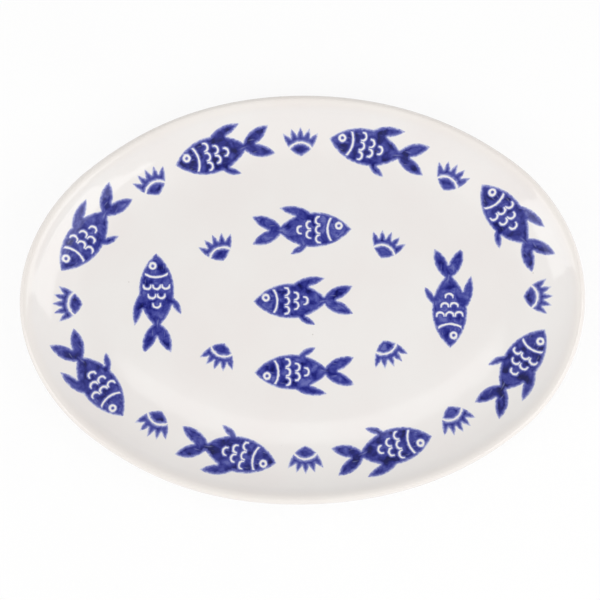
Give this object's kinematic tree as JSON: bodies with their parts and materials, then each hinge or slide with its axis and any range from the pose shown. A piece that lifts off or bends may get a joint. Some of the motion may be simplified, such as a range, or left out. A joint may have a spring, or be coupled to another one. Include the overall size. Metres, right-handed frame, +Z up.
{
  "type": "oval serving platter",
  "caption": "Oval glazed earthenware serving platter with a flat well, a curved wall, a rounded lip, a foot ring and blue painted fish and shells.",
  "frame": {"origin": "centre of the foot ring's resting plane", "axes": "+X along the platter's length, +Y across it, +Z up out of the well"},
  "size_m": [0.406, 0.2958, 0.032],
  "materials": {
    "earthenware": "matte",
    "white_glaze": "gloss",
    "cobalt_colour": "gloss"
  },
  "bodies": {
    "root": {"clay_body": "earthenware", "glaze_coat": "white_glaze", "base_glaze": "white_glaze", "rim_fish_1": "cobalt_colour", "rim_fish_2": "cobalt_colour", "rim_fish_3": "cobalt_colour", "rim_fish_4": "cobalt_colour", "rim_fish_5": "cobalt_colour", "rim_fish_6": "cobalt_colour", "rim_fish_7": "cobalt_colour", "rim_fish_8": "cobalt_colour", "rim_shell_1": "cobalt_colour", "rim_shell_2": "cobalt_colour", "rim_shell_3": "cobalt_colour", "rim_shell_4": "cobalt_colour", "rim_shell_5": "cobalt_colour", "rim_shell_6": "cobalt_colour", "rim_shell_7": "cobalt_colour", "rim_shell_8": "cobalt_colour", "well_fish_1": "cobalt_colour", "well_fish_2": "cobalt_colour", "well_fish_3": "cobalt_colour", "well_fish_4": "cobalt_colour", "well_shell_1": "cobalt_colour", "well_shell_2": "cobalt_colour", "well_shell_3": "cobalt_colour", "well_shell_4": "cobalt_colour", "centre_fish": "cobalt_colour"}
  },
  "joints": []
}
